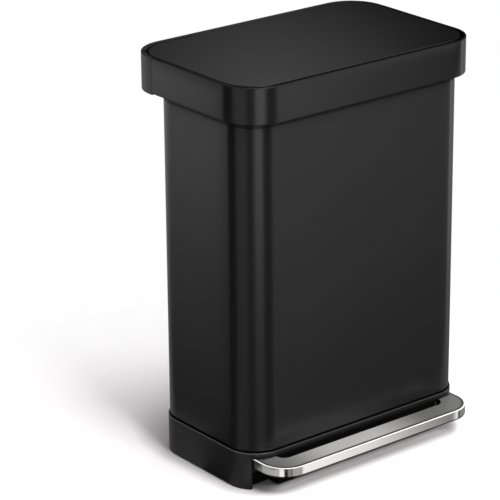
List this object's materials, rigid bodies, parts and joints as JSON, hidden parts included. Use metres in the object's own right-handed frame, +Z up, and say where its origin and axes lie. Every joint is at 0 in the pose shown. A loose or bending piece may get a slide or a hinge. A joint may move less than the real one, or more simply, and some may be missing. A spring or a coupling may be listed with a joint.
{
  "type": "pedal bin",
  "caption": "Rectangular pedal bin with rounded corners: black steel body, deep rim, flush hinged lid, moulded base and a wide U-shaped steel foot pedal that lifts the lid.",
  "frame": {"origin": "on the floor, in the middle of the width and of the whole depth from pedal to rim", "axes": "+Z up, +X across the width, -Y towards the front with the pedal"},
  "size_m": [0.46, 0.337, 0.65],
  "materials": {
    "satin_black_steel": "satin black coat on steel sheet",
    "black_moulding": "fine-grained black moulding",
    "brushed_stainless": "brushed along the width",
    "zinc_steel": "zinc-plated steel",
    "pale_nylon": "natural nylon",
    "black_rubber": "soft black rubber"
  },
  "bodies": {
    "can": {"body_shell": "satin_black_steel", "rim_band": "satin_black_steel", "collar_frame": "black_moulding", "hinge_housing": "black_moulding", "housing_screws": "zinc_steel", "hinge_pin": "zinc_steel", "guide_brackets": "zinc_steel", "guide_bushes": "pale_nylon", "damper_cylinder": "zinc_steel", "damper_clamps": "zinc_steel", "mechanism_cover": "black_moulding", "liner_rim": "black_moulding", "base": "black_moulding", "base_feet": "black_rubber", "pedal_axle": "zinc_steel", "axle_clips": "zinc_steel", "pedal_stops": "black_rubber"},
    "lid": {"lid_panel": "satin_black_steel", "lid_tray": "black_moulding", "lid_nuts": "zinc_steel", "lid_bumpers": "black_rubber", "hinge_roll": "black_moulding", "hinge_bushes": "pale_nylon", "lid_lever": "zinc_steel", "lever_screws": "zinc_steel", "crank_pin": "zinc_steel"},
    "lift_rod": {"push_rod": "zinc_steel", "rod_head": "pale_nylon", "rod_foot": "pale_nylon", "rod_yoke": "pale_nylon", "damper_piston": "zinc_steel"},
    "pedal": {"pedal_tread": "brushed_stainless", "pedal_core": "black_moulding", "axle_bushes": "pale_nylon", "lift_lever": "zinc_steel", "lift_screws": "zinc_steel", "lift_pin": "zinc_steel"}
  },
  "joints": [
    {"name": "lid_hinge", "type": "hinge", "parent": "can", "child": "lid", "pos_m": [0, 0.133, 0.642], "axis": [-1, 0, 0], "range_deg": [0, 80]},
    {"name": "rod_lift", "type": "slide", "parent": "can", "child": "lift_rod", "axis": [0, 0, 1], "range_m": [0, 0.03754]},
    {"name": "pedal_press", "type": "hinge", "parent": "can", "child": "pedal", "pos_m": [0, -0.042, 0.04425], "axis": [1, 0, 0], "range_deg": [0, 14.34]}
  ],
  "couplings": [
    {"joint": "rod_lift", "follows": "lid_hinge", "m_per_rad": 0.026885},
    {"joint": "pedal_press", "follows": "lid_hinge", "ratio": 0.17924}
  ]
}
